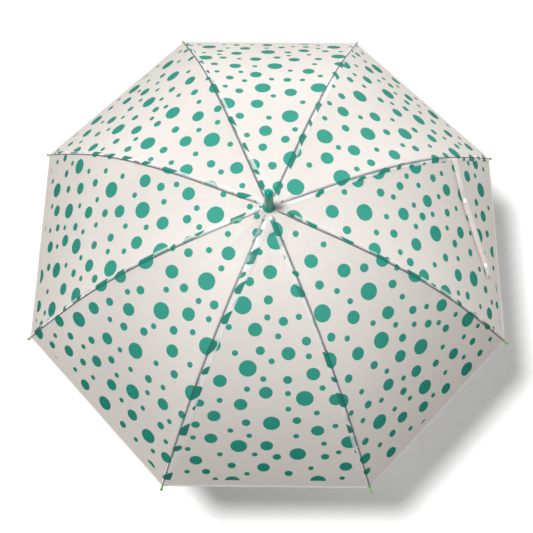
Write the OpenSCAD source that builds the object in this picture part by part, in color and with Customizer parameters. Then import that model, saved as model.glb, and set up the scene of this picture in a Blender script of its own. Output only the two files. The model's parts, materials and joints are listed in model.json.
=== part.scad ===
// Manual-opening stick umbrella with an eight-panel dome of frosted film, drawn open.
// Millimetres. The origin is the middle of the grip, on the shaft's axis, and +Z runs up the shaft
// to the ferrule. Rib 1 stands at 22.5 degrees from +X and the ribs are numbered anticlockwise.

/* [Canopy] */
// Radius from the shaft's axis to a corner of the open canopy
rim_r = 410; // [390:5:430]
// Slope of the ribs where they leave the crown, in degrees below level
root_slope = 4; // [3:1:5]
// Slope of the ribs at a quarter of the radius
upper_slope = 7; // [6:1:9]
// Slope of the ribs at three quarters of the radius
lower_slope = 39; // [37:1:41]
// Slope of the ribs at the rim
rim_slope = 44; // [43:1:46]
// Thickness of the film
film_t = 0.2; // [0.15:0.05:0.3]

/* [Ribs and stretchers] */
// Radius of the rib wire
rib_wire_r = 1.3; // [1.2:0.1:1.5]
// Distance from the shaft's axis to a rib clip, as a share of the canopy's radius
clip_share = 0.5; // [0.47:0.01:0.52]
// Height from the runner's pivots up to the clips' pivots when the umbrella is open
stretcher_rise = 96; // [90:1:105]
// Angle that each rib turns down through when the umbrella closes
fold_angle = 60; // [58:1:61]
// Thickness of the flat steel of the rib roots and the stretchers
blade_t = 1.6; // [1.4:0.1:1.8]

/* [Shaft and runner] */
// Outer radius of the steel tube
shaft_r = 4; // [3.8:0.1:4.2]
// Wall of the steel tube
shaft_wall = 0.6; // [0.5:0.1:0.7]
// Height of the rib hinges above the middle of the grip
crown_z = 485; // [480:1:500]
// Radius of the ring of rib hinges
crown_wire_r = 9; // [9:0.5:10]
// Radius of the ring of stretcher pivots in the runner
runner_wire_r = 11; // [11:0.5:12]

/* [Ferrule and handle] */
// Height of the ferrule above the canopy
ferrule_h = 57; // [50:1:60]
// Radius of the ferrule's straight upper part
ferrule_r = 5.8; // [5.4:0.1:6]
// Radius of the ferrule's flared foot
ferrule_foot_r = 8.5; // [8:0.5:9.5]
// Radius of the handle's round section
grip_r = 8.5; // [8:0.5:9.5]
// Length of the handle's straight grip
grip_len = 90; // [80:5:100]
// Radius of the crook, to the middle of its section
crook_r = 32; // [30:1:36]

/* [Strap] */
// Width of the closing strap
strap_w = 16; // [14:1:18]
// Thickness of the closing strap
strap_t = 0.8; // [0.6:0.1:1]

/* [Hidden] */
$fn = 48;
ARC_FN = 720;
RIBS = 8;
HALF = 180 / RIBS;
// Room a side between fixed parts, and between moving ones
FIT = 0.05;
GAP = 0.3;
// How far a cut runs past the faces that it opens
PAST = 1;
// The two ring wires, and their room in the crown and the runner
WIRE_R = 0.6;
WIRE_FIT = 0.02;

// The rib's centre line: three arcs that meet without a corner, each as
// [radius it starts at, slope there, radius it ends at, slope there]
SPANS = [
    [crown_wire_r, root_slope, rim_r / 4, upper_slope],
    [rim_r / 4, upper_slope, rim_r * 3 / 4, lower_slope],
    [rim_r * 3 / 4, lower_slope, rim_r, rim_slope],
];
function bend_r(a) = (a[2] - a[0]) / (sin(a[3]) - sin(a[1]));
function span_drop(a) = bend_r(a) * (cos(a[1]) - cos(a[3]));
function drop_to(i) = i == 0 ? 0 : drop_to(i - 1) + span_drop(SPANS[i - 1]);
function span_at(r) = r < SPANS[0][2] ? 0 : r < SPANS[1][2] ? 1 : 2;
function slope_in(a, r) = asin(sin(a[1]) + (r - a[0]) / bend_r(a));
function slope_at(r) = slope_in(SPANS[span_at(r)], r);
function drop_in(a, r) = bend_r(a) * (cos(a[1]) - cos(slope_in(a, r)));
function rib_z(r) = crown_z - drop_to(span_at(r)) - drop_in(SPANS[span_at(r)], r);

// A bead on the rib where two arcs meet, so that the wire is one solid
BEAD_R = rib_wire_r + 0.1;

// Rib clip: where it sits on the rib, and its pivot below the rib
CLIP_SIT_R = rim_r * clip_share;
CLIP_SLOPE = slope_at(CLIP_SIT_R);
CLIP_DROP = 4.5;
CLIP_LEN = 8;
CLIP_W = 4.4;
CLIP_WALL = 0.45;
CLIP_EAR = 1.2;
PIVOT_R = CLIP_SIT_R - CLIP_DROP * sin(CLIP_SLOPE);
PIVOT_Z = rib_z(CLIP_SIT_R) - CLIP_DROP * cos(CLIP_SLOPE);

// Stretcher: from the clip's pivot to the runner's pivot, open and closed
OPEN_REACH = PIVOT_R - runner_wire_r;
STRETCHER_LEN = norm([OPEN_REACH, stretcher_rise]);
STRETCHER_SLOPE = atan2(stretcher_rise, OPEN_REACH);
HINGE_X = PIVOT_R - crown_wire_r;
HINGE_DROP = crown_z - PIVOT_Z;
SHUT_R = crown_wire_r + HINGE_X * cos(fold_angle) - HINGE_DROP * sin(fold_angle);
SHUT_Z = crown_z - HINGE_X * sin(fold_angle) - HINGE_DROP * cos(fold_angle);
RUNNER_OPEN_Z = PIVOT_Z - stretcher_rise;
SHUT_REACH = SHUT_R - runner_wire_r;
RUNNER_SHUT_Z = SHUT_Z - sqrt(STRETCHER_LEN * STRETCHER_LEN - SHUT_REACH * SHUT_REACH);

// Crown
CROWN_R = 12.5;
CROWN_UP = 4;
CROWN_DOWN = 5;
SLOT_W = 2.4;
SLOT_ROOM = 0.5;
EYE_R = 2.1;
EYE_ROOM = 0.4;
EYE_HOLE_R = 0.8;
ROOT_LEN = 12;
ROOT_H = 3.2;
ROOT_CUT = 4;

// Runner
RUNNER_BORE_R = shaft_r + GAP;
RUNNER_WALL_R = 6.8;
RUNNER_HEAD_R = 13.5;
HEAD_UP = 4;
HEAD_DOWN = 4;
RUNNER_TAIL = 36;
FINGER_R = 10;
FINGER_H = 4;
WINDOW_UP = 7;
WINDOW_H = 11;

// Stretcher's runner end: a hook, open between two directions from the line of the stretcher
HOOK_R = 1.9;
HOOK_HOLE_R = 0.95;
HOOK_WAY_R = 0.85;
HOOK_WAY_LEN = 6;
HOOK_OPEN_FROM = -90;
HOOK_OPEN_TO = -148;
BAR_H = 3;
RIVET_R = 1;
RIVET_HOLE_R = 1.08;

// Film: its under side stays just clear of the rib wire, and lifts to pass over the crown
FILM_CLEAR = rib_wire_r + 1.1;
FILM_TOP_Z = CROWN_UP + GAP;
FILM_IN_R = 4.6;
FILM_STEPS = 22;
LIFT_OUT_R = 48;
SEAM_GAP = 0.3;
function film_r(i) = i == 0 ? FILM_IN_R
    : i == 1 ? CROWN_R + 1
    : CROWN_R + 1 + (rim_r - CROWN_R - 1) * (i - 1) / (FILM_STEPS - 1);
function hinge_side(r) = max(r, crown_wire_r);
function ease(x) = x <= 0 ? 0 : x >= 1 ? 1 : x * x * (3 - 2 * x);
function lifted(r) = 1 - ease((r - CROWN_R) / (LIFT_OUT_R - CROWN_R));
function film_plain_z(r, up) = rib_z(r) + (FILM_CLEAR + up) / cos(slope_at(r));
function film_z(r, up) = let(plain = film_plain_z(hinge_side(r), up), top = crown_z + FILM_TOP_Z + up)
    plain + (top - plain) * lifted(r);

// Ferrule: a hollow curve leads from the edge of the foot up into the straight part
FERRULE_Z = crown_z + FILM_TOP_Z + film_t + GAP;
FOOT_EDGE = 1.2;
FLARE_H = 14;
FLARE_OUT = ferrule_foot_r - ferrule_r;
FLARE_BEND_R = (FLARE_OUT * FLARE_OUT + (FLARE_H - FOOT_EDGE) * (FLARE_H - FOOT_EDGE)) / (2 * FLARE_OUT);
SHAFT_IN_FERRULE = 20;
SHAFT_TOP_Z = FERRULE_Z + SHAFT_IN_FERRULE;

// Handle
GRIP_TOP_Z = grip_len / 2;
COLLAR_H = 7;
COLLAR_OUT = 0.8;
COLLAR_CONE_H = 3;
COLLAR_NECK = 2;
CROOK_ARM = 24;
SHAFT_FOOT_Z = -10;

// Catches, in slots of the tube on the +X side
CATCH_W = 1.6;
CATCH_T = 0.8;
CATCH_ARM = 14;
CATCH_NOSE = 3.4;
CATCH_NOSE_H = 7;
CATCH_LIP = 1.2;
CATCH_IN = 0.5;
CATCH_SLOT_W = 2.2;
CATCH_SLOT_MORE = 2;
CATCH_GAP = 1;
CATCH_IN_WINDOW = 16;
TOP_CATCH_Z = RUNNER_OPEN_Z - RUNNER_TAIL - CATCH_GAP;
LOW_CATCH_Z = RUNNER_SHUT_Z - RUNNER_TAIL + CATCH_IN_WINDOW;
STOP_PIN_R = 1;
STOP_PIN_Z = RUNNER_OPEN_Z + HEAD_UP + STOP_PIN_R + GAP;

// Strap: a strip that lies along the panel that faces +X, from the seam over rib 1. Its middle line
// is [distance along +Y, distance from the shaft as a share of the canopy's radius]
STRAP_LIFT = 0.7;
STRAP_LINE = [
    [116, 0.755], [99, 0.774], [75, 0.788], [51, 0.8], [38, 0.815],
    [24, 0.832], [-2, 0.857], [-18, 0.876], [-43, 0.902], [-59, 0.916],
];
SOCKET_POINT = 3;
STUD_POINT = 8;
SNAP_R = 4.5;
SNAP_H = 1.6;
SNAP_STEP = 0.6;
function fall(q) = rim_r * norm([cos(HALF), tan(slope_at(q[1] * rim_r))]);
function square_to(q, d) = let(flat = [d[0], d[1] * fall(q)], n = norm(flat))
    [flat[1] / n, -flat[0] / n / fall(q)];
function line_dir(i) = STRAP_LINE[min(i + 1, len(STRAP_LINE) - 1)] - STRAP_LINE[max(i - 1, 0)];
function strap_place(q, up) = let(r = q[1] * rim_r) [r * cos(HALF), q[0], film_z(r, film_t + STRAP_LIFT + up)];

// Tip
TIP_R = 1.9;
TIP_BALL_R = 2.5;
TIP_BACK = 5;
TIP_LEN = 17;
TIP_MOUTH = 0.3;
TIP_CONE = 2;
TIP_EYE_X = 4.2;
TIP_EYE_UP = 0.9;
TIP_EYE_R = 1.5;
TIP_EYE_WIRE_R = 0.5;
WIRE_PAST = 4;

module at_rib(k) {
    rotate([0, 0, HALF * (2 * k - 1)]) children();
}

// Turns a solid drawn along +X to point down a slope from a place in the rib's plane
module on_slope(r, z, slope) {
    translate([r, 0, z]) rotate([0, slope, 0]) children();
}

module ring(ring_r, wire_r, z) {
    translate([0, 0, z]) rotate_extrude() translate([ring_r, 0]) circle(r = wire_r, $fn = 24);
}

// A stretch of round wire along one arc of the rib's centre line, and a length past its end
module wire_span(a, top_z, past = 0) {
    bend = bend_r(a);
    last = a[3] + past / bend * 180 / PI;
    translate([a[0] - bend * sin(a[1]), 0, top_z - bend * cos(a[1])])
        rotate([90, 0, 0])
            rotate([0, 0, 90 - last])
                rotate_extrude(angle = last - a[1], $fn = ARC_FN)
                    translate([bend, 0]) circle(r = rib_wire_r, $fn = 24);
}

module slots(from_r, to_r, low_z, high_z) {
    for (k = [1:RIBS])
        at_rib(k)
            translate([from_r, -SLOT_W / 2, low_z]) cube([to_r - from_r, SLOT_W, high_z - low_z]);
}

module shaft() {
    color("silver") difference() {
        translate([0, 0, SHAFT_FOOT_Z]) cylinder(r = shaft_r, h = SHAFT_TOP_Z - SHAFT_FOOT_Z);
        translate([0, 0, SHAFT_FOOT_Z - PAST])
            cylinder(r = shaft_r - shaft_wall, h = SHAFT_TOP_Z - SHAFT_FOOT_Z + 2 * PAST);
        for (z = [TOP_CATCH_Z, LOW_CATCH_Z])
            translate([0, -CATCH_SLOT_W / 2, z - CATCH_NOSE_H - CATCH_SLOT_MORE])
                cube([shaft_r + PAST, CATCH_SLOT_W, CATCH_NOSE_H + 2 * CATCH_SLOT_MORE]);
        translate([0, 0, STOP_PIN_Z])
            rotate([90, 0, 0]) cylinder(r = STOP_PIN_R, h = 4 * shaft_r, center = true);
    }
}

module stop_pin() {
    color("silver") translate([0, 0, STOP_PIN_Z])
        rotate([90, 0, 0]) cylinder(r = STOP_PIN_R - FIT / 2, h = 2 * RUNNER_WALL_R, center = true);
}

module ferrule() {
    color("darkcyan") translate([0, 0, FERRULE_Z]) difference() {
        union() {
            rotate_extrude() difference() {
                square([ferrule_foot_r, FLARE_H]);
                translate([ferrule_r + FLARE_BEND_R, FLARE_H]) circle(r = FLARE_BEND_R, $fn = ARC_FN);
            }
            cylinder(r = ferrule_r, h = ferrule_h - ferrule_r);
            translate([0, 0, ferrule_h - ferrule_r]) sphere(r = ferrule_r);
        }
        translate([0, 0, -PAST]) cylinder(r = shaft_r + FIT, h = SHAFT_IN_FERRULE + PAST + GAP);
    }
}

module crown() {
    color("darkcyan") difference() {
        translate([0, 0, crown_z - CROWN_DOWN]) cylinder(r = CROWN_R, h = CROWN_DOWN + CROWN_UP);
        translate([0, 0, crown_z - CROWN_DOWN - PAST])
            cylinder(r = shaft_r + FIT, h = CROWN_DOWN + CROWN_UP + 2 * PAST);
        slots(crown_wire_r - EYE_R - SLOT_ROOM, CROWN_R + PAST,
            crown_z - CROWN_DOWN - PAST, crown_z + EYE_R + EYE_ROOM);
        ring(crown_wire_r, WIRE_R + WIRE_FIT, crown_z);
    }
}

module crown_wire() {
    color("silver") ring(crown_wire_r, WIRE_R, crown_z);
}

module runner() {
    low_z = RUNNER_OPEN_Z - RUNNER_TAIL;
    color("darkcyan") difference() {
        union() {
            translate([0, 0, low_z]) cylinder(r = RUNNER_WALL_R, h = RUNNER_TAIL + HEAD_UP);
            translate([0, 0, RUNNER_OPEN_Z - HEAD_DOWN]) cylinder(r = RUNNER_HEAD_R, h = HEAD_UP + HEAD_DOWN);
            translate([0, 0, low_z + FINGER_H])
                cylinder(r1 = FINGER_R, r2 = RUNNER_WALL_R, h = FINGER_H);
            translate([0, 0, low_z]) cylinder(r = FINGER_R, h = FINGER_H);
        }
        translate([0, 0, low_z - PAST]) cylinder(r = RUNNER_BORE_R, h = RUNNER_TAIL + HEAD_UP + 2 * PAST);
        slots(runner_wire_r - HOOK_R - SLOT_ROOM, RUNNER_HEAD_R + PAST,
            RUNNER_OPEN_Z - HEAD_DOWN - PAST, RUNNER_OPEN_Z + HEAD_UP + PAST);
        ring(runner_wire_r, WIRE_R + WIRE_FIT, RUNNER_OPEN_Z);
        translate([0, -CATCH_SLOT_W / 2 - GAP, low_z + WINDOW_UP])
            cube([FINGER_R + PAST, CATCH_SLOT_W + 2 * GAP, WINDOW_H]);
    }
}

module runner_wire() {
    color("silver") ring(runner_wire_r, WIRE_R, RUNNER_OPEN_Z);
}

// A strip of spring steel inside the tube, with a nose that stands out through the slot
module catch(nose_z) {
    strip_x = shaft_r - shaft_wall - CATCH_T - CATCH_IN;
    color("silver") translate([0, CATCH_W / 2, nose_z]) rotate([90, 0, 0])
        linear_extrude(CATCH_W) polygon([
            [strip_x, -CATCH_ARM], [strip_x + CATCH_T, -CATCH_ARM],
            [strip_x + CATCH_T, -CATCH_NOSE_H - 1], [shaft_r + CATCH_NOSE, -CATCH_LIP],
            [shaft_r + CATCH_NOSE, 0], [strip_x, 0],
        ]);
}

module top_catch() {
    catch(TOP_CATCH_Z);
}

module bottom_catch() {
    catch(LOW_CATCH_Z);
}

module handle() {
    color("darkcyan") difference() {
        union() {
            translate([0, 0, -grip_len / 2]) cylinder(r = grip_r, h = grip_len);
            translate([crook_r, 0, -grip_len / 2]) rotate([-90, 0, 0])
                rotate_extrude(angle = 180) translate([crook_r, 0]) circle(r = grip_r);
            translate([2 * crook_r, 0, -grip_len / 2]) cylinder(r = grip_r, h = CROOK_ARM);
            translate([2 * crook_r, 0, CROOK_ARM - grip_len / 2]) sphere(r = grip_r);
        }
        translate([0, 0, SHAFT_FOOT_Z - GAP])
            cylinder(r = shaft_r + FIT, h = GRIP_TOP_Z - SHAFT_FOOT_Z + GAP + PAST);
    }
}

module handle_collar() {
    color("silver") translate([0, 0, GRIP_TOP_Z + FIT]) difference() {
        union() {
            cylinder(r = grip_r + COLLAR_OUT, h = COLLAR_H - COLLAR_CONE_H);
            translate([0, 0, COLLAR_H - COLLAR_CONE_H])
                cylinder(r1 = grip_r + COLLAR_OUT, r2 = shaft_r + COLLAR_NECK, h = COLLAR_CONE_H);
        }
        translate([0, 0, -PAST]) cylinder(r = shaft_r + FIT, h = COLLAR_H + 2 * PAST);
    }
}

module rib(k) {
    color("dimgray") at_rib(k) {
        difference() {
            union() {
                for (i = [0:2]) wire_span(SPANS[i], crown_z - drop_to(i), i == 2 ? WIRE_PAST : 0);
                for (r = [SPANS[1][0], SPANS[2][0]]) translate([r, 0, rib_z(r)]) sphere(r = BEAD_R);
                on_slope(crown_wire_r, crown_z, root_slope)
                    translate([0, -blade_t / 2, -ROOT_H / 2]) cube([ROOT_LEN, blade_t, ROOT_H]);
                translate([crown_wire_r, 0, crown_z]) rotate([90, 0, 0])
                    cylinder(r = EYE_R, h = blade_t, center = true);
            }
            translate([crown_wire_r, 0, crown_z]) rotate([90, 0, 0])
                cylinder(r = EYE_HOLE_R, h = 3 * rib_wire_r, center = true);
            for (side = [0, 1]) mirror([0, side, 0])
                translate([crown_wire_r - ROOT_CUT, blade_t / 2, crown_z - ROOT_CUT])
                    cube([ROOT_CUT + ROOT_LEN / 2, ROOT_CUT, 2 * ROOT_CUT]);
        }
    }
}

module rib_tip(k) {
    color("limegreen") at_rib(k) on_slope(rim_r, rib_z(rim_r), rim_slope) {
        difference() {
            union() {
                translate([-TIP_BACK, 0, 0]) rotate([0, 90, 0])
                    cylinder(r1 = rib_wire_r + TIP_MOUTH, r2 = TIP_R, h = TIP_CONE);
                translate([TIP_CONE - TIP_BACK, 0, 0]) rotate([0, 90, 0])
                    cylinder(r = TIP_R, h = TIP_LEN - TIP_BALL_R - TIP_CONE);
                translate([TIP_LEN - TIP_BACK - TIP_BALL_R, 0, 0]) sphere(r = TIP_BALL_R);
                translate([TIP_EYE_X, 0, TIP_R + TIP_EYE_UP]) rotate([90, 0, 0])
                    rotate_extrude() translate([TIP_EYE_R, 0]) circle(r = TIP_EYE_WIRE_R, $fn = 24);
            }
            translate([-TIP_BACK - PAST, 0, 0]) rotate([0, 90, 0])
                cylinder(r = rib_wire_r + FIT, h = TIP_BACK + WIRE_PAST + PAST + GAP);
        }
    }
}

module rib_clip(k) {
    ear = RIVET_R + CLIP_EAR;
    color("gray") at_rib(k) on_slope(CLIP_SIT_R, rib_z(CLIP_SIT_R), CLIP_SLOPE) {
        difference() {
            union() {
                translate([-CLIP_LEN / 2, -CLIP_W / 2, -CLIP_DROP])
                    cube([CLIP_LEN, CLIP_W, CLIP_DROP + rib_wire_r + CLIP_WALL]);
                translate([0, 0, -CLIP_DROP]) rotate([90, 0, 0]) cylinder(r = ear, h = CLIP_W, center = true);
            }
            rotate([0, 90, 0]) cylinder(r = rib_wire_r + FIT, h = CLIP_LEN + 2 * PAST, center = true);
            translate([-CLIP_LEN, -SLOT_W / 2, -CLIP_DROP - 2 * ear])
                cube([2 * CLIP_LEN, SLOT_W, CLIP_DROP + 2 * ear - rib_wire_r - EYE_ROOM]);
        }
        translate([0, 0, -CLIP_DROP]) rotate([90, 0, 0])
            cylinder(r = RIVET_R, h = CLIP_W + RIVET_R, center = true);
    }
}

// The room that the runner's wire needs to leave the hook, out to a distance that clears the bar
module hook_way() {
    a = HOOK_OPEN_FROM;
    b = HOOK_OPEN_TO;
    side_a = HOOK_WAY_R * [cos(a + 90), sin(a + 90)];
    side_b = HOOK_WAY_R * [cos(b - 90), sin(b - 90)];
    far_a = side_a + HOOK_WAY_LEN * [cos(a), sin(a)];
    far_b = side_b + HOOK_WAY_LEN * [cos(b), sin(b)];
    linear_extrude(4, center = true) polygon([side_a, far_a, [far_b[0], far_a[1]], far_b, side_b]);
}

// Drawn along -X from the clip's pivot, then tilted down towards the runner
module stretcher(k) {
    color("dimgray") at_rib(k) translate([PIVOT_R, 0, PIVOT_Z])
        rotate([90, 0, 0]) rotate([0, 0, 180 + STRETCHER_SLOPE]) difference() {
            union() {
                translate([0, -BAR_H / 2, -blade_t / 2]) cube([STRETCHER_LEN, BAR_H, blade_t]);
                cylinder(r = EYE_R, h = blade_t, center = true);
                translate([STRETCHER_LEN, 0, 0]) cylinder(r = HOOK_R, h = blade_t, center = true);
            }
            cylinder(r = RIVET_HOLE_R, h = 4, center = true);
            translate([STRETCHER_LEN, 0, 0]) cylinder(r = HOOK_HOLE_R, h = 4, center = true);
            translate([STRETCHER_LEN, 0, 0]) hook_way();
        }
}

// A gore reaches from the middle of one panel, over its rib, to the middle of the next. It is three
// lines of points a side, straight across each half panel: column 0 and 2 are mid panel, 1 is the rib
function gore_point(i, column, up) = let(
        u = film_r(i) * cos(HALF), side = column - 1, z = film_z(film_r(i), up)
    )
    side == 0 ? [film_r(i), 0, z]
    : [u * cos(HALF) + SEAM_GAP * sin(HALF), side * (u * sin(HALF) - SEAM_GAP * cos(HALF)), z];

// A thin solid between two layers of points, the under layer first. Each layer is rows of points
module layered(points, rows, columns) {
    w = columns + 1;
    function low(i, c) = w * i + c;
    function top(i, c) = w * (rows + 1 + i) + c;
    faces = [
        for (i = [0:rows - 1]) for (c = [0:columns - 1])
            [top(i, c), top(i, c + 1), top(i + 1, c + 1), top(i + 1, c)],
        for (i = [0:rows - 1]) for (c = [0:columns - 1])
            [low(i, c), low(i + 1, c), low(i + 1, c + 1), low(i, c + 1)],
        for (i = [0:rows - 1]) [low(i, 0), top(i, 0), top(i + 1, 0), low(i + 1, 0)],
        for (i = [0:rows - 1]) [low(i + 1, columns), top(i + 1, columns), top(i, columns), low(i, columns)],
        for (c = [0:columns - 1]) [low(0, c + 1), top(0, c + 1), top(0, c), low(0, c)],
        for (c = [0:columns - 1]) [low(rows, c), top(rows, c), top(rows, c + 1), low(rows, c + 1)],
    ];
    polyhedron(points, faces);
}

module canopy_gore(k) {
    points = [for (up = [0, film_t]) for (i = [0:FILM_STEPS]) for (c = [0:2]) gore_point(i, c, up)];
    color("mistyrose", 0.6) at_rib(k) layered(points, FILM_STEPS, 2);
}

module strap() {
    last = len(STRAP_LINE) - 1;
    points = [for (up = [0, strap_t]) for (i = [0:last]) for (side = [-strap_w / 2, strap_w / 2])
        strap_place(STRAP_LINE[i] + side * square_to(STRAP_LINE[i], line_dir(i)), up)];
    color("whitesmoke") layered(points, last, 1);
}

module snap(q) {
    slope = atan(tan(slope_at(q[1] * rim_r)) / cos(HALF));
    color("white") translate(strap_place(q, strap_t)) rotate([0, slope, 0]) translate([0, 0, FIT]) {
        cylinder(r = SNAP_R, h = SNAP_H / 2);
        cylinder(r = SNAP_R * SNAP_STEP, h = SNAP_H);
    }
}

module strap_socket() {
    snap(STRAP_LINE[SOCKET_POINT]);
}

module strap_stud() {
    snap(STRAP_LINE[STUD_POINT]);
}

shaft();
ferrule();
crown();
crown_wire();
stop_pin();
handle();
handle_collar();
runner();
runner_wire();
top_catch();
bottom_catch();
strap();
strap_socket();
strap_stud();
for (k = [1:RIBS]) {
    rib(k);
    rib_tip(k);
    rib_clip(k);
    stretcher(k);
    canopy_gore(k);
}
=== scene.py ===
import json
import math
import random

import bpy
import numpy as np
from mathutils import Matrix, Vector, geometry, noise


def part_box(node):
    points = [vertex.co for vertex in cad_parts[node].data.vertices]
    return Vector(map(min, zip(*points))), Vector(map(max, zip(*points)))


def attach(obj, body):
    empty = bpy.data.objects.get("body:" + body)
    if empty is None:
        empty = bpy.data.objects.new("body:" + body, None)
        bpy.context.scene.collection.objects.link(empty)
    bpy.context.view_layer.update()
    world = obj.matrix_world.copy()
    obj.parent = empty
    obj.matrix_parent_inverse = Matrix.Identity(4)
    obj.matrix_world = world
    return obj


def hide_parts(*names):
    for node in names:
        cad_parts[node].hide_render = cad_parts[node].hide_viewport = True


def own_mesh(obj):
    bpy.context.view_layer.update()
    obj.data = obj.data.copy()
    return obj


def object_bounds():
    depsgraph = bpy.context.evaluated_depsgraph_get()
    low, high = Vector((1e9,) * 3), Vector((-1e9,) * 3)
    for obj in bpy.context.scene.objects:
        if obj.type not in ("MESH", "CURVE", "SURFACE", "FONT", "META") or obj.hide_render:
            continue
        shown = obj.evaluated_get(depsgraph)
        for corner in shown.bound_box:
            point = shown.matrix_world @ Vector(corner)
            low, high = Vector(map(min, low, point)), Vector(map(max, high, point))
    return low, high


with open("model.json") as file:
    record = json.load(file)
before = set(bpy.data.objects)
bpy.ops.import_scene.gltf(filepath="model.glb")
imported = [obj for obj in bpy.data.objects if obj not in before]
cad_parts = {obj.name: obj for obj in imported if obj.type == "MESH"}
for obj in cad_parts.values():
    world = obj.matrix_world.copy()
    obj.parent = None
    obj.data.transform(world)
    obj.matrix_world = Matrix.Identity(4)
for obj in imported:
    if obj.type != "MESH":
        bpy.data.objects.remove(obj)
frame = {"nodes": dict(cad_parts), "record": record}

# A dome umbrella of frosted, dotted film, open. Metres, in the CAD model's own frame: the origin is
# the middle of the grip and +Z runs up the shaft. Rib k stands at 22.5, 67.5, ... degrees from +X,
# and panel j is the flat-across strip of film between two ribs, its middle at 45 * j degrees.
CAD_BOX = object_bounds()
MM = 0.001
RIBS = 8
HALF = math.pi / RIBS

# ---------------------------------------------------------------- the dome, as part.scad has it
ROOT_SLOPE, UPPER_SLOPE, LOWER_SLOPE, RIM_SLOPE = (math.radians(a) for a in (4, 7, 39, 44))
FILM_CLEAR = 2.4 * MM
FILM_TOP = 4.3 * MM
FILM_IN_R = 4.6 * MM
LIFT_OUT_R = 48 * MM
FILM_T = 0.2 * MM
WIRE_LOW, WIRE_HIGH = (Vector(c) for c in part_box("crown_wire"))
CROWN_Z = (WIRE_LOW.z + WIRE_HIGH.z) / 2
CROWN_WIRE_R = WIRE_HIGH.x - (WIRE_HIGH.z - WIRE_LOW.z) / 2
CROWN_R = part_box("crown")[1][0]
RIM_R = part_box("canopy_gore_1")[1][0] / math.cos(HALF)
SPANS = [
    (CROWN_WIRE_R, ROOT_SLOPE, RIM_R / 4, UPPER_SLOPE),
    (RIM_R / 4, UPPER_SLOPE, RIM_R * 3 / 4, LOWER_SLOPE),
    (RIM_R * 3 / 4, LOWER_SLOPE, RIM_R, RIM_SLOPE),
]


def rib_at(r):
    """Height and slope of the rib's centre line at radius r."""
    z, r = CROWN_Z, max(r, CROWN_WIRE_R)
    for start, slope, end, end_slope in SPANS:
        bend = (end - start) / (math.sin(end_slope) - math.sin(slope))
        if r <= end or end_slope == RIM_SLOPE:
            here = math.asin(math.sin(slope) + (r - start) / bend)
            return z - bend * (math.cos(slope) - math.cos(here)), here
        z -= bend * (math.cos(slope) - math.cos(end_slope))


def ease(x):
    x = min(max(x, 0.0), 1.0)
    return x * x * (3 - 2 * x)


def film_height(r):
    """Height of the film's middle over radius r, measured at a rib."""
    z, slope = rib_at(r)
    plain = z + (FILM_CLEAR + FILM_T / 2) / math.cos(slope)
    lifted = 1 - ease((r - CROWN_R) / (LIFT_OUT_R - CROWN_R))
    return plain + (CROWN_Z + FILM_TOP + FILM_T / 2 - plain) * lifted


# The panel unrolled flat: s runs down its middle line from the shaft, v runs across it
R_LINE = np.linspace(FILM_IN_R, RIM_R, 400)
Z_LINE = np.array([film_height(r) for r in R_LINE])
U_LINE = R_LINE * math.cos(HALF)
S_LINE = np.concatenate([[0], np.cumsum(np.hypot(np.diff(U_LINE), np.diff(Z_LINE)))])
S_RIM = float(S_LINE[-1])


def r_at(s):
    return float(np.interp(s, S_LINE, R_LINE))


def half_width(s):
    return r_at(s) * math.sin(HALF)


# ---------------------------------------------------------------- film: sag, creases and print
SAG = 3.5 * MM
SAG_REACH = 1.05
APEX_CREASE = 1.3 * MM
APEX_REACH = 80 * MM
APEX_START = 14 * MM
CREASE_WAVES = [(11, 2.1, 1.0), (19, -1.3, 0.6)]  # waves over the panel, turn from panel to panel, share
RIPPLE = 0.5 * MM
RIPPLE_SCALE = (9, 22, 3.7)
RIPPLE_START = 60 * MM
BAND_W = 6.5 * MM
BAND_SHARES = {5: 0.8, 6: 1.5, 8: 0.7}
BAND_VARY = 0.5
BAND_SCALE = (8, 5.3)
BAND_START = 12 * MM
UPWARD_BANDS = (6, 8)
BAND_LIFT = 0.6 * MM
BAND_RISE = 1.5 * MM
SEAM_W = 2.2 * MM
SEAM_START = 4 * SEAM_W
HEM_W = 4 * MM
PRINT_END = 16 * MM
DOT_SEED = 4100
DOT_SIDES = 28
DOT_NEAREST = 0.0012  # share of the panel's area that holds no dot's middle, at the shaft
DOT_KINDS = [(12 * MM, 17), (9.3 * MM, 22), (6.1 * MM, 24), (4.2 * MM, 38)]
DOT_TRIES = 90
DOT_GAP = 3 * MM
FILM_GRID = 8 * MM
FILM_ROWS = 70
FILM_COLUMNS = 42
FILM_START = 0.5 * MM
SAME_PLACE = 1e-6


def band_width(j, sign, s):
    """How far panel j's film runs on past its rib on that side: over it on all ribs but one side's."""
    rib = j + 1 if sign > 0 else (j or RIBS)
    if (rib in UPWARD_BANDS) != (sign > 0):
        return 0.0
    vary = 1 + BAND_VARY * noise.noise(Vector((s * BAND_SCALE[0], BAND_SCALE[1] * rib, 0)))
    return BAND_W * BAND_SHARES.get(rib, 1) * vary * ease(s / BAND_START)


def film_dip(j, s, v):
    """How far the film lies inside the straight line across the panel: none at the ribs."""
    width = max(half_width(s), SAME_PLACE)
    across = min(abs(v) / width, 1.0)
    window = 1 - across * across
    run = s / S_RIM
    sag = SAG * math.sin(math.pi * min(run * SAG_REACH, 1.0)) ** 2 * window
    fade = math.exp(-s / APEX_REACH)
    waves = sum(share * math.sin(count * v / width + turn * j) for count, turn, share in CREASE_WAVES)
    crease = APEX_CREASE * fade * (1 - math.exp(-s / APEX_START)) * waves * window * window
    place = Vector((s * RIPPLE_SCALE[0], v * RIPPLE_SCALE[1], RIPPLE_SCALE[2] * j))
    ripple = RIPPLE * noise.noise(place) * window * window * ease(s / RIPPLE_START)
    return sag + crease + ripple


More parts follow.
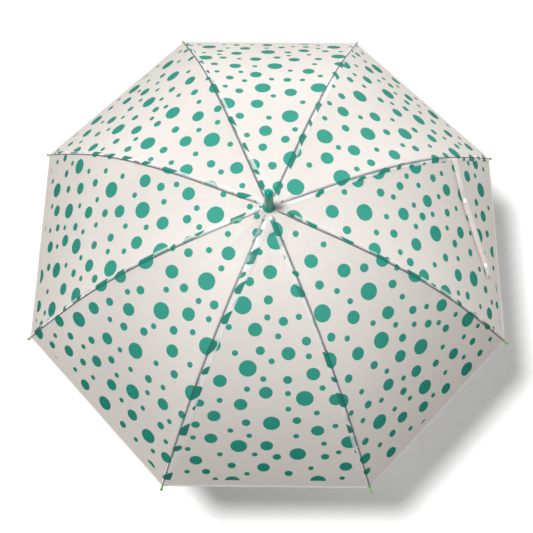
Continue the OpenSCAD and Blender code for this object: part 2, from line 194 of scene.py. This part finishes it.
def film_point(j, s, v, lift=0.0):
    """The place on the dome of a point of flat panel j. Past a rib it lies on the next panel."""
    w = half_width(s)
    if abs(v) > w:
        side = 1 if v > 0 else -1
        j, v = (j + side) % RIBS, -side * (2 * w - abs(v))
    r = r_at(s)
    slope = math.atan2(
        float(np.interp(s - MM, S_LINE, Z_LINE) - np.interp(s + MM, S_LINE, Z_LINE)),
        float(np.interp(s + MM, S_LINE, U_LINE) - np.interp(s - MM, S_LINE, U_LINE)),
    )
    out = lift - film_dip(j, s, v)
    u = r * math.cos(HALF) + out * math.sin(slope)
    z = film_height(r) + out * math.cos(slope)
    turn = 2 * HALF * j
    return Vector((u * math.cos(turn) - v * math.sin(turn), u * math.sin(turn) + v * math.cos(turn), z))


def dot_layout(j):
    """Centres and radii of panel j's printed dots on the flat film, large ones first.

    Each dot takes the roomiest of many seeded places, so the print is even but never in rows."""
    dice = random.Random(DOT_SEED + j)
    dots = []
    for radius, count in DOT_KINDS:
        for _ in range(count):
            best, room = None, DOT_GAP
            for _ in range(DOT_TRIES):
                s = S_RIM * math.sqrt(dice.uniform(DOT_NEAREST, 1.0))
                v = dice.uniform(-1, 1) * (half_width(s) + 2 * BAND_W)
                gaps = [math.hypot(s - a, v - b) - radius - c for a, b, c in dots]
                alike = [math.hypot(s - a, v - b) / 3 for a, b, c in dots if c == radius]
                free = min(gaps + alike, default=S_RIM)
                if free > room:
                    best, room = (s, v, radius), free
            if best:
                dots.append(best)
    return dots


def panel_faces(j):
    """Flat panel j cut into triangles along its dots, seams and hem. Each is its three (s, v) points,
    its zone, and whether it lies past a rib."""
    rows = [S_RIM * i / FILM_ROWS for i in range(FILM_ROWS + 1)]
    rows[0] = FILM_START
    points, faces, edges = [], [], []

    def loop(line):
        first = len(points)
        points.extend(Vector(p) for p in line)
        faces.append(list(range(first, first + len(line))))

    def chain(line):
        first = len(points)
        points.extend(Vector(p) for p in line)
        edges.extend((first + i, first + i + 1) for i in range(len(line) - 1))

    def edge_at(s, sign):
        return sign * (half_width(s) + band_width(j, sign, s))

    def across(s):
        return [(s, v) for v in np.linspace(edge_at(s, -1), edge_at(s, 1), FILM_COLUMNS)]

    loop([(s, edge_at(s, -1)) for s in rows] + across(S_RIM)[1:-1] + [(s, edge_at(s, 1)) for s in rows[::-1]])
    for s, v, radius in dot_layout(j):
        turns = [2 * math.pi * i / DOT_SIDES for i in range(DOT_SIDES)]
        loop([(s + radius * math.cos(a), v + radius * math.sin(a)) for a in turns])
    chain([(s, 0.0) for s in rows])
    seam_rows = [s for s in rows if s > SEAM_START]
    for sign in (-1, 1):
        chain([(s, sign * (half_width(s) - SEAM_W)) for s in seam_rows])
        if band_width(j, sign, S_RIM / 2):
            chain([(s, sign * half_width(s)) for s in rows])
            chain([(s, sign * (half_width(s) + SEAM_W)) for s in seam_rows])
    chain(across(S_RIM - PRINT_END))
    chain(across(S_RIM - HEM_W))
    for s in np.arange(FILM_GRID, S_RIM, FILM_GRID):
        count = int(half_width(s) / FILM_GRID)
        points.extend(Vector((s, i * FILM_GRID)) for i in range(-count, count + 1) if i)
    flat, _, cut, _, _, parents = geometry.delaunay_2d_cdt(points, edges, faces, 1, 1e-7)
    found = []
    for corners, of in zip(cut, parents):
        if 0 not in of:
            continue
        middle = sum((flat[c] for c in corners), Vector((0, 0))) / len(corners)
        past = abs(middle[1]) - half_width(middle[0])
        inked = len(of) > 1 and middle[0] < S_RIM - PRINT_END
        at_rib = abs(past) < SEAM_W and middle[0] > SEAM_START
        zone = "seam" if at_rib else "band" if past > 0 else "hem" if middle[0] > S_RIM - HEM_W else "film"
        zone = zone + "_ink" if inked and zone != "hem" else zone
        found.append(([flat[c] for c in corners], zone, past > 0))
    return found


ZONES = ["film", "film_ink", "seam", "seam_ink", "band", "band_ink", "hem"]


def cut_area(corners):
    """Area of a flat polygon of (s, v) points, before it is laid on the dome."""
    turns = sum(a[0] * b[1] - b[0] * a[1] for a, b in zip(corners, corners[1:] + corners[:1]))
    return abs(turns) / 2


def build_gore(k, panels, materials):
    """The film on rib k: the half of each panel beside it. Returns it with its flat pattern's area."""
    points, index, faces, zones, area = [], {}, [], [], 0.0
    for j, side in ((k - 1, 1), (k % RIBS, -1)):
        for corners, zone, over in panels[j]:
            if side * sum(c[1] for c in corners) < 0:
                continue
            area += cut_area(corners)
            face = []
            for s, v in corners:
                past = abs(v) - half_width(s)
                lift = BAND_LIFT * ease(past / BAND_RISE) if over else 0.0
                key = (j, round(s, 6), round(v, 6), round(lift, 6))
                if abs(past) < SAME_PLACE:
                    key = ("rib", round(s, 6))
                if key not in index:
                    index[key] = len(points)
                    points.append(film_point(j, s, v, lift))
                face.append(index[key])
            if len(set(face)) == len(face):
                faces.append(face)
                zones.append(ZONES.index(zone))
    mesh = bpy.data.meshes.new(f"canopy_film_{k}")
    mesh.from_pydata(points, [], faces)
    mesh.polygons.foreach_set("material_index", zones)
    mesh.polygons.foreach_set("use_smooth", [True] * len(faces))
    for name in ZONES:
        mesh.materials.append(materials[name])
    mesh.validate()
    mesh.update()
    gore = bpy.data.objects.new(f"canopy_film_{k}", mesh)
    bpy.context.scene.collection.objects.link(gore)
    return gore, area


# ---------------------------------------------------------------- materials
def node_material(name):
    material = bpy.data.materials.new(name)
    material.use_nodes = True
    tree = material.node_tree
    tree.nodes.clear()
    output = tree.nodes.new("ShaderNodeOutputMaterial")
    return material, tree, output


def add(tree, kind, **inputs):
    node = tree.nodes.new(kind)
    for key, value in inputs.items():
        node.inputs[key.replace("_", " ")].default_value = value
    return node


def fine_bump(tree, scale, strength, distance, stretch=(1, 1, 1)):
    """A noise bump in the object's own coordinates. Returns its normal and its noise."""
    where = tree.nodes.new("ShaderNodeTexCoord")
    place = add(tree, "ShaderNodeMapping", Scale=stretch)
    grain = add(tree, "ShaderNodeTexNoise", Scale=scale, Detail=4.0)
    bump = add(tree, "ShaderNodeBump", Strength=strength, Distance=distance)
    tree.links.new(where.outputs["Object"], place.inputs["Vector"])
    tree.links.new(place.outputs["Vector"], grain.inputs["Vector"])
    tree.links.new(grain.outputs["Fac"], bump.inputs["Height"])
    return bump.outputs["Normal"], grain.outputs["Fac"]


def ramp(tree, source, stops):
    node = tree.nodes.new("ShaderNodeValToRGB")
    line = node.color_ramp.elements
    while len(line) < len(stops):
        line.new(0.5)
    for element, (at, colour) in zip(line, stops):
        element.position = at
        element.color = (*colour, 1) if len(colour) == 3 else colour
    tree.links.new(source, node.inputs["Fac"])
    return node.outputs["Color"]


def solid_material(name, dark, light, roughness, metallic=0.0, coat=0.0, shine=0.5,
                   grain=(900, 0.08, 0.2 * MM), stretch=(1, 1, 1)):
    """Moulded plastic or metal: a slightly mottled colour, mottled gloss and a fine bump."""
    material, tree, output = node_material(name)
    shader = add(tree, "ShaderNodeBsdfPrincipled", Metallic=metallic)
    shader.inputs["Coat Weight"].default_value = coat
    shader.inputs["Coat Roughness"].default_value = 0.08
    shader.inputs["Specular IOR Level"].default_value = shine
    normal, fac = fine_bump(tree, *grain, stretch=stretch)
    tree.links.new(normal, shader.inputs["Normal"])
    tree.links.new(ramp(tree, fac, [(0.3, dark), (0.7, light)]), shader.inputs["Base Color"])
    low, high = ((roughness - 0.05,) * 3, (roughness + 0.07,) * 3)
    tree.links.new(ramp(tree, fac, [(0.25, low), (0.75, high)]), shader.inputs["Roughness"])
    tree.links.new(shader.outputs["BSDF"], output.inputs["Surface"])
    return material


def film_material(name, near, far, clear, gloss_rough, through, shine=0.2):
    """Thin frosted film. near and far are its colours at the shaft and at the rim, and the step between them
    is painted shade: lighter where the dome's top takes more light, darker towards the rim. clear is the
    share of light that goes straight through, and through the share of the rest that is scattered on."""
    material, tree, output = node_material(name)
    where = tree.nodes.new("ShaderNodeTexCoord")
    split = tree.nodes.new("ShaderNodeSeparateXYZ")
    tree.links.new(where.outputs["Object"], split.inputs["Vector"])
    height = tree.nodes.new("ShaderNodeMapRange")
    height.inputs["From Min"].default_value = CROWN_Z
    height.inputs["From Max"].default_value = CAD_FILM_LOW
    tree.links.new(split.outputs["Z"], height.inputs["Value"])
    # Painted shade: the colour is ramped by height, from the lighter shaft colour down to the darker rim
    # colour.
    colour = ramp(tree, height.outputs["Result"], [(0.0, near), (1.0, far)])
    normal, _ = fine_bump(tree, 260, 0.12, 0.3 * MM)
    front = add(tree, "ShaderNodeBsdfPrincipled", Roughness=gloss_rough)
    front.inputs["Specular IOR Level"].default_value = shine
    back = tree.nodes.new("ShaderNodeBsdfTranslucent")
    open_way = tree.nodes.new("ShaderNodeBsdfTransparent")
    tree.links.new(colour, front.inputs["Base Color"])
    tree.links.new(colour, back.inputs["Color"])
    tree.links.new(colour, open_way.inputs["Color"])
    tree.links.new(normal, front.inputs["Normal"])
    tree.links.new(normal, back.inputs["Normal"])
    scatter = add(tree, "ShaderNodeMixShader", Fac=through)
    tree.links.new(front.outputs["BSDF"], scatter.inputs[1])
    tree.links.new(back.outputs["BSDF"], scatter.inputs[2])
    whole = add(tree, "ShaderNodeMixShader", Fac=clear)
    tree.links.new(scatter.outputs["Shader"], whole.inputs[1])
    tree.links.new(open_way.outputs["BSDF"], whole.inputs[2])
    tree.links.new(whole.outputs["Shader"], output.inputs["Surface"])
    return material


CAD_FILM_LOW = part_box("canopy_gore_1")[0][2]
# Each pair is a lighter colour at the shaft and a darker one at the rim. The step between them is painted
# shade, for the light that falls more on the dome's top. The dots' teal itself is print.
FROST_LIT_NEAR, FROST_SHADED_FAR = (0.70, 0.655, 0.625), (0.55, 0.51, 0.48)
CLEAR_LIT_NEAR, CLEAR_SHADED_FAR = (0.93, 0.93, 0.93), (0.84, 0.83, 0.82)
INK_LIT_NEAR, INK_SHADED_FAR = (0.045, 0.31, 0.235), (0.0, 0.165, 0.112)
FILM_LOOKS = {
    "film": film_material("frosted_film", FROST_LIT_NEAR, FROST_SHADED_FAR, 0.08, 0.5, 0.2),
    "film_ink": film_material("dot_ink", INK_LIT_NEAR, INK_SHADED_FAR, 0.01, 0.5, 0.2, 0.04),
    "seam": film_material("seam_film", CLEAR_LIT_NEAR, CLEAR_SHADED_FAR, 0.84, 0.15, 0.25),
    "seam_ink": film_material("seam_dot_ink", INK_LIT_NEAR, INK_SHADED_FAR, 0.4, 0.25, 0.2),
    "band": film_material("overlap_film", CLEAR_LIT_NEAR, CLEAR_SHADED_FAR, 0.45, 0.16, 0.2, 0.5),
    "band_ink": film_material("overlap_dot_ink", INK_LIT_NEAR, INK_SHADED_FAR, 0.25, 0.25, 0.2),
    "hem": film_material("hem_film", CLEAR_LIT_NEAR, FROST_LIT_NEAR, 0.06, 0.3, 0.3),
}
# The strap's second colour is slightly darker: painted shade towards the rim, as on the canopy film.
STRAP_FILM = film_material("strap_film", (0.97, 0.93, 0.91), (0.95, 0.9, 0.88), 0.36, 0.16, 0.3, 0.45)
TEAL = solid_material("teal_plastic", (0.0, 0.23, 0.165), (0.0, 0.29, 0.21), 0.16, shine=0.2)
GREEN = solid_material("green_plastic", (0.12, 0.36, 0.05), (0.17, 0.45, 0.07), 0.3, coat=0.2)
GREY_STEEL = solid_material("grey_steel", (0.035, 0.033, 0.036), (0.05, 0.048, 0.052), 0.42, metallic=0.3)
BRIGHT_STEEL = solid_material(
    "bright_steel", (0.55, 0.55, 0.56), (0.72, 0.72, 0.73), 0.24, metallic=1.0,
    grain=(400, 0.1, 0.1 * MM), stretch=(6, 6, 0.3),
)
SNAP_WHITE = solid_material("snap_plastic", (0.83, 0.84, 0.83), (0.9, 0.9, 0.89), 0.2, coat=0.3)
CAD_LOOKS = {
    "teal_plastic": TEAL,
    "green_plastic": GREEN,
    "grey_steel": GREY_STEEL,
    "bright_steel": BRIGHT_STEEL,
    "snap_plastic": SNAP_WHITE,
}


def dress_cad_nodes():
    slots = {row["node"]: row["material_slot"] for row in frame["record"]["subparts"]}
    for name, obj in frame["nodes"].items():
        look = CAD_LOOKS.get(slots[name])
        if look:
            for slot in obj.material_slots:
                slot.material = look


def fold_with_rib(piece, k):
    """Hangs the piece on rib k's body and gives it a mesh of its own."""
    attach(piece, f"rib_{k}")
    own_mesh(piece)


def build_canopy():
    panels = [panel_faces(j) for j in range(RIBS)]
    gores = []
    for k in range(1, RIBS + 1):
        gore, area = build_gore(k, panels, FILM_LOOKS)
        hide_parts(f"canopy_gore_{k}")
        band = max(band_width(k - 1, 1, S_RIM), band_width(k % RIBS, -1, S_RIM))
        fold_with_rib(gore, k)
        gores.append(gore)
    return gores


# ---------------------------------------------------------------- strap
STRAP_LOW, STRAP_HIGH = (Vector(c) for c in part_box("strap"))
STRAP_W = 16 * MM
STRAP_T = 0.35 * MM
STRAP_CLEAR = 0.9 * MM
STRAP_RISE = 1.6 * MM
STRAP_BOW_POWER = 0.7
STRAP_EDGE_FALL = 0.75
STRAP_VARY = (0.75, 0.5)
STRAP_WAVE = (9, 4)
STRAP_ROWS = 96
STRAP_COLUMNS = 8


def middle(name):
    low, high = (Vector(c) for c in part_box(name))
    return (low + high) / 2


def on_strap_panel(place):
    """The flat (s, v) of a place on the panel that faces +X."""
    return Vector((float(np.interp(place.x, U_LINE, S_LINE)), place.y))


def smooth_line(stops, count):
    """Points along a smooth curve through the stops, at even steps of the stops' own spacing."""
    line = []
    for i in range(count + 1):
        t = i * (len(stops) - 1) / count
        n = min(int(t), len(stops) - 2)
        before, start, end, after = (stops[min(max(n + d, 0), len(stops) - 1)] for d in (-1, 0, 1, 2))
        t -= n
        in_way, out_way = (end - before) / 2, (after - start) / 2
        line.append(start * (2 * t**3 - 3 * t**2 + 1) + in_way * (t**3 - 2 * t**2 + t)
                    + end * (3 * t**2 - 2 * t**3) + out_way * (t**3 - t**2))
    return line


def strap_lift(t, c):
    """Height over the line that a taut film would take: the strap bridges the film's sag, bows up
    between the seam and the snaps, and its edges hang lower."""
    bow = abs(math.sin(3 * math.pi * t)) ** STRAP_BOW_POWER
    vary = STRAP_VARY[0] + STRAP_VARY[1] * noise.noise(Vector((STRAP_WAVE[0] * t, 0, STRAP_WAVE[1])))
    return STRAP_CLEAR + STRAP_RISE * bow * (1 - STRAP_EDGE_FALL * c * c) * vary


def build_strap(material):
    low, high = STRAP_LOW, STRAP_HIGH
    inset, back = STRAP_W / 3, STRAP_W / 4
    stops = [Vector((low.x + inset, high.y - back, 0)), middle("strap_socket"), middle("strap_stud"),
             Vector((high.x - inset, low.y + back, 0))]
    line = smooth_line([on_strap_panel(p) for p in stops], STRAP_ROWS)
    points = []
    for up in (0, STRAP_T):
        for i, here in enumerate(line):
            way = (line[min(i + 1, STRAP_ROWS)] - line[max(i - 1, 0)]).normalized()
            for c in np.linspace(-1, 1, STRAP_COLUMNS + 1):
                place = here + Vector((-way.y, way.x)) * (c * STRAP_W / 2)
                lift = film_dip(0, place.x, place.y) + strap_lift(i / STRAP_ROWS, c) + up
                points.append(film_point(0, place.x, place.y, lift))
    layer, row = (STRAP_ROWS + 1) * (STRAP_COLUMNS + 1), STRAP_COLUMNS + 1
    faces = []
    for i in range(STRAP_ROWS):
        for c in range(STRAP_COLUMNS):
            a = i * row + c
            faces.append((a, a + 1, a + row + 1, a + row))
            faces.append((layer + a, layer + a + row, layer + a + row + 1, layer + a + 1))
        for a, b in ((i * row, 0), (i * row + STRAP_COLUMNS, 1)):
            side = (a, a + row, layer + a + row, layer + a)
            faces.append(side[::-1] if b else side)
    for a, b in ((0, 1), (STRAP_ROWS * row, 0)):
        for c in range(STRAP_COLUMNS):
            end = (a + c, a + c + 1, layer + a + c + 1, layer + a + c)
            faces.append(end[::-1] if b else end)
    mesh = bpy.data.meshes.new("closing_strap")
    mesh.from_pydata(points, [], faces)
    mesh.polygons.foreach_set("use_smooth", [True] * len(faces))
    mesh.materials.append(material)
    mesh.update()
    strap = bpy.data.objects.new("closing_strap", mesh)
    bpy.context.scene.collection.objects.link(strap)
    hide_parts("strap")
    fold_with_rib(strap, 1)
    return strap


# ---------------------------------------------------------------- stage
# The key lamp hangs about as high as the camera, so that the shadow hugs the canopy's outline. Its
# light is kept even over its distance, as a large studio lamp's is
FLOOR_SIZE = 40
FLOOR_GAP = 0.5 * MM
HORIZON, ZENITH = 0.8, 0.05
HORIZON_TOP, ZENITH_LOW = 0.18, 0.5
KEY_PLACE = Vector((-0.30, 0.0, CAD_FILM_LOW + 1.2))
KEY_POWER = 48
KEY_RADIUS = 0.11
FILL_STRENGTH = 2.5
FILL_ANGLE = math.radians(45)
FILL_WAY = (0.36, 0.88, 0.31)


def build_stage():
    low = CAD_BOX[0][2]
    bpy.ops.mesh.primitive_plane_add(size=FLOOR_SIZE, location=(0, 0, low - FLOOR_GAP))
    floor = bpy.context.object
    floor.name = "floor"
    floor.data.materials.append(
        solid_material("floor_white", (0.86, 0.86, 0.86), (0.88, 0.88, 0.88), 0.85, grain=(30, 0.0, MM))
    )
    world = bpy.data.worlds.new("studio")
    bpy.context.scene.world = world
    world.use_nodes = True
    tree = world.node_tree
    where = tree.nodes.new("ShaderNodeTexCoord")
    split = tree.nodes.new("ShaderNodeSeparateXYZ")
    tree.links.new(where.outputs["Generated"], split.inputs["Vector"])
    sky = ramp(tree, split.outputs["Z"], [
        (0.0, (HORIZON,) * 3), (HORIZON_TOP, (HORIZON,) * 3), (ZENITH_LOW, (ZENITH,) * 3),
    ])
    tree.links.new(sky, tree.nodes["Background"].inputs["Color"])
    key = bpy.data.lights.new("key", "POINT")
    key.energy = KEY_POWER
    key.shadow_soft_size = KEY_RADIUS
    key.use_nodes = True
    tree = key.node_tree
    even = add(tree, "ShaderNodeLightFalloff", Strength=1.0)
    tree.links.new(even.outputs["Constant"], tree.nodes["Emission"].inputs["Strength"])
    lamp = bpy.data.objects.new("key", key)
    lamp.location = KEY_PLACE
    bpy.context.scene.collection.objects.link(lamp)
    fill = bpy.data.lights.new("fill", "SUN")
    fill.energy = FILL_STRENGTH
    fill.angle = FILL_ANGLE
    lamp = bpy.data.objects.new("fill", fill)
    lamp.rotation_euler = Vector(FILL_WAY).to_track_quat("Z", "Y").to_euler()
    bpy.context.scene.collection.objects.link(lamp)


# Where the camera stands, in rim radii from the middle of the rim, and the way that it looks
CAMERA_PLACE = Vector((-0.002, -0.580, 2.139))
CAMERA_LOOK = Vector((-0.002, 0.222, -0.975))
CAMERA_LENS, CAMERA_SENSOR = 36.95, 36


def build_camera():
    """The camera stands nearly over the dome, tilted by about 13 degrees from the shaft's line."""
    place = CAMERA_PLACE * RIM_R + Vector((0, 0, CAD_FILM_LOW))
    data = bpy.data.cameras.new("camera")
    data.sensor_width = CAMERA_SENSOR
    data.lens = CAMERA_LENS
    camera = bpy.data.objects.new("camera", data)
    camera.location = place
    camera.rotation_euler = CAMERA_LOOK.to_track_quat("-Z", "Y").to_euler()
    bpy.context.scene.collection.objects.link(camera)
    bpy.context.scene.camera = camera


bpy.context.scene.view_settings.view_transform = "Standard"
build_camera()
build_stage()
dress_cad_nodes()
build_canopy()
build_strap(STRAP_FILM)
